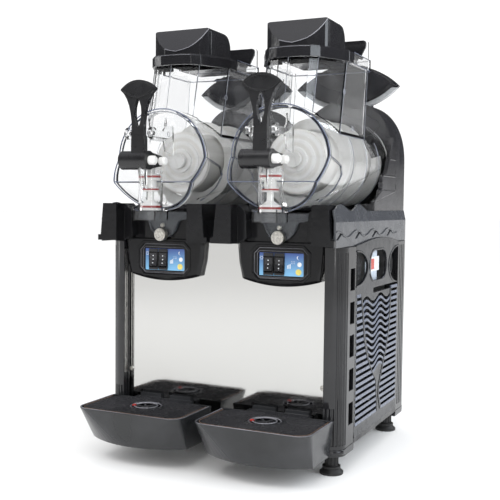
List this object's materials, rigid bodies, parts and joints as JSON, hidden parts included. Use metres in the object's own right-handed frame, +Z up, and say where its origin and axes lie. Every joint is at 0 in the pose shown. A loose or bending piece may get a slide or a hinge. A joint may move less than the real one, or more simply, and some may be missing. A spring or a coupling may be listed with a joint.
{
  "type": "slush machine",
  "caption": "Counter-top frozen drink dispenser with clear horizontal bowls, hopper lids, tap levers, drip trays and a cooling unit in a louvred body.",
  "frame": {"origin": "centre of the footprint on the counter top", "axes": "+Z up, front towards -Y, +X to the right as seen from the front"},
  "size_m": [0.4008, 0.463, 0.674],
  "materials": {
    "black_gloss": "gloss",
    "black_satin": "satin",
    "side_grey": "satin",
    "stainless": "polished",
    "galvanised": "satin",
    "clear": "gloss",
    "smoky": "gloss",
    "tray_grey": "gloss",
    "white_plastic": "satin",
    "seal_red": "satin",
    "float_red": "gloss",
    "nickel": "satin",
    "motor_black": "satin",
    "motor_alloy": "cast",
    "switch": "satin",
    "foot_rubber": "satin"
  },
  "bodies": {
    "machine": {"base_pan": "motor_black", "front_panel": "stainless", "side_panel_left": "side_grey", "side_panel_right": "side_grey", "rear_panel": "galvanised", "front_pillars": "black_gloss", "rear_pillars": "black_gloss", "crests": "black_gloss", "gearmotors": "motor_alloy", "feet": "foot_rubber", "upper_housing": "side_grey", "screws": "nickel", "compressor": "motor_black", "condenser": "motor_alloy", "fan_motor": "motor_black", "power_inlet": "black_satin", "pivot_pins": "white_plastic", "fascia_left": "black_gloss", "bib_left": "smoky", "control_plate_left": "black_satin", "bowl_left": "clear", "hopper_left": "clear", "spout_left": "clear", "evaporator_left": "stainless", "casing_left": "black_gloss", "fascia_right": "black_gloss", "bib_right": "smoky", "control_plate_right": "black_satin", "bowl_right": "clear", "hopper_right": "clear", "spout_right": "clear", "evaporator_right": "stainless", "casing_right": "black_gloss"},
    "fan": {"fan": "black_satin"},
    "knob_left": {"knob_left": "nickel"},
    "rocker_a_left": {"rocker_a_left": "switch"},
    "rocker_b_left": {"rocker_b_left": "switch"},
    "tray_left": {"tray_left": "tray_grey"},
    "grid_left": {"grid_left": "tray_grey"},
    "float_left": {"float_left": "float_red"},
    "auger_left": {"auger_left": "white_plastic", "auger_shaft_left": "stainless"},
    "lid_left": {"lid_left": "black_gloss"},
    "lever_left": {"lever_left": "black_gloss"},
    "piston_left": {"piston_left": "white_plastic", "piston_rings_left": "seal_red", "piston_pin_left": "white_plastic"},
    "knob_right": {"knob_right": "nickel"},
    "rocker_a_right": {"rocker_a_right": "switch"},
    "rocker_b_right": {"rocker_b_right": "switch"},
    "tray_right": {"tray_right": "tray_grey"},
    "grid_right": {"grid_right": "tray_grey"},
    "float_right": {"float_right": "float_red"},
    "auger_right": {"auger_right": "white_plastic", "auger_shaft_right": "stainless"},
    "lid_right": {"lid_right": "black_gloss"},
    "lever_right": {"lever_right": "black_gloss"},
    "piston_right": {"piston_right": "white_plastic", "piston_rings_right": "seal_red", "piston_pin_right": "white_plastic"}
  },
  "joints": [
    {"name": "fan_spin", "type": "hinge", "parent": "machine", "child": "fan", "pos_m": [-0.129, 0.046, 0.15], "axis": [1, 0, 0], "continuous": true},
    {"name": "knob_turn_left", "type": "hinge", "parent": "machine", "child": "knob_left", "pos_m": [-0.1, -0.13, 0.3468], "axis": [0, -1, 0], "continuous": true},
    {"name": "rocker_a_press_left", "type": "hinge", "parent": "machine", "child": "rocker_a_left", "pos_m": [-0.12035, -0.116, 0.3062], "axis": [1, 0, 0], "range_deg": [0, 14]},
    {"name": "rocker_b_press_left", "type": "hinge", "parent": "machine", "child": "rocker_b_left", "pos_m": [-0.10285, -0.116, 0.3062], "axis": [1, 0, 0], "range_deg": [0, 14]},
    {"name": "tray_pull_left", "type": "slide", "parent": "machine", "child": "tray_left", "axis": [0, -1, 0], "range_m": [0, 0.15]},
    {"name": "grid_lift_left", "type": "slide", "parent": "tray_left", "child": "grid_left", "axis": [0, 0, 1], "range_m": [0, 0.08]},
    {"name": "float_rise_left", "type": "slide", "parent": "tray_left", "child": "float_left", "axis": [0, 0, 1], "range_m": [0, 0.02]},
    {"name": "auger_spin_left", "type": "hinge", "parent": "machine", "child": "auger_left", "pos_m": [-0.1, 0, 0.463], "axis": [0, -1, 0], "continuous": true},
    {"name": "lid_lift_left", "type": "slide", "parent": "machine", "child": "lid_left", "axis": [0, 0, 1], "range_m": [0, 0.12]},
    {"name": "lever_pull_left", "type": "hinge", "parent": "machine", "child": "lever_left", "pos_m": [-0.1, -0.19, 0.459], "axis": [1, 0, 0], "range_deg": [0, 24.5], "stiffness_Nm_per_rad": 0.8, "springref_deg": -20.05},
    {"name": "piston_slide_left", "type": "slide", "parent": "machine", "child": "piston_left", "axis": [0, 0, 1], "range_m": [0, 0.0135]},
    {"name": "knob_turn_right", "type": "hinge", "parent": "machine", "child": "knob_right", "pos_m": [0.1, -0.13, 0.3468], "axis": [0, -1, 0], "continuous": true},
    {"name": "rocker_a_press_right", "type": "hinge", "parent": "machine", "child": "rocker_a_right", "pos_m": [0.07965, -0.116, 0.3062], "axis": [1, 0, 0], "range_deg": [0, 14]},
    {"name": "rocker_b_press_right", "type": "hinge", "parent": "machine", "child": "rocker_b_right", "pos_m": [0.09715, -0.116, 0.3062], "axis": [1, 0, 0], "range_deg": [0, 14]},
    {"name": "tray_pull_right", "type": "slide", "parent": "machine", "child": "tray_right", "axis": [0, -1, 0], "range_m": [0, 0.15]},
    {"name": "grid_lift_right", "type": "slide", "parent": "tray_right", "child": "grid_right", "axis": [0, 0, 1], "range_m": [0, 0.08]},
    {"name": "float_rise_right", "type": "slide", "parent": "tray_right", "child": "float_right", "axis": [0, 0, 1], "range_m": [0, 0.02]},
    {"name": "auger_spin_right", "type": "hinge", "parent": "machine", "child": "auger_right", "pos_m": [0.1, 0, 0.463], "axis": [0, -1, 0], "continuous": true},
    {"name": "lid_lift_right", "type": "slide", "parent": "machine", "child": "lid_right", "axis": [0, 0, 1], "range_m": [0, 0.12]},
    {"name": "lever_pull_right", "type": "hinge", "parent": "machine", "child": "lever_right", "pos_m": [0.1, -0.19, 0.459], "axis": [1, 0, 0], "range_deg": [0, 24.5], "stiffness_Nm_per_rad": 0.8, "springref_deg": -20.05},
    {"name": "piston_slide_right", "type": "slide", "parent": "machine", "child": "piston_right", "axis": [0, 0, 1], "range_m": [0, 0.0135]}
  ],
  "couplings": [
    {"joint": "piston_slide_left", "follows": "lever_pull_left", "m_per_rad": 0.0315},
    {"joint": "piston_slide_right", "follows": "lever_pull_right", "m_per_rad": 0.0315}
  ]
}
